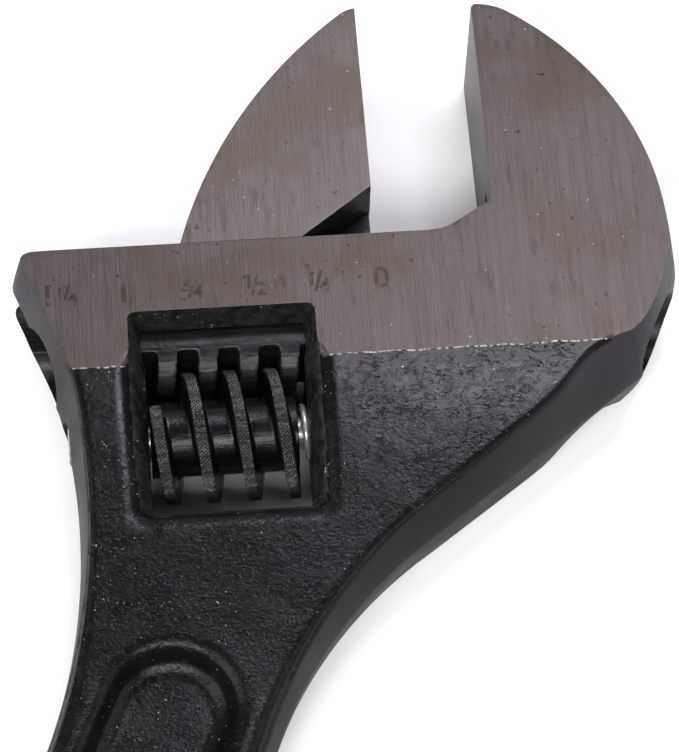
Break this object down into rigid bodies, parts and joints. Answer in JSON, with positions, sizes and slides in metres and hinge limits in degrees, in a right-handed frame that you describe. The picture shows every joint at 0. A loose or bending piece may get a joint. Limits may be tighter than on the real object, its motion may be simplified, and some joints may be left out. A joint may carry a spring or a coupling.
{
  "type": "adjustable wrench",
  "caption": "Adjustable wrench with a forged handle, a fixed jaw and a sliding jaw that a knurled worm in the head drives along a rack.",
  "frame": {"origin": "centre of the wrench's outline as it lies flat, at the underside of the head", "axes": "+Y up the handle towards the head and the jaw tips, +Z through the thickness, +X towards the fixed jaw's back"},
  "size_m": [0.0646, 0.254, 0.0152],
  "materials": {
    "forged_black": "black phosphate over a rough forged skin, satin",
    "ground_steel": "ground along the jaws, slightly stained",
    "worm_black": "blackened, with a cross knurl on the thread's crest",
    "pin_steel": "turned, bright",
    "spring_steel": "bright wire"
  },
  "bodies": {
    "wrench_body": {"body": "forged_black", "worm_pin": "pin_steel", "worm_spring": "spring_steel"},
    "sliding_jaw": {"movable_jaw": "ground_steel"},
    "adjusting_worm": {"worm": "worm_black"}
  },
  "joints": [
    {"name": "jaw_slide", "type": "slide", "parent": "wrench_body", "child": "sliding_jaw", "axis": [0.9239, 0.3827, 0], "range_m": [-0.0198, 0.0119]},
    {"name": "worm_spin", "type": "hinge", "parent": "wrench_body", "child": "adjusting_worm", "pos_m": [-0.01203, 0.06932, 0.0076], "axis": [0.9239, 0.3827, 0], "range_deg": [-1046, 1740]}
  ],
  "couplings": [
    {"joint": "worm_spin", "follows": "jaw_slide", "rad_per_m": -1532.5}
  ]
}
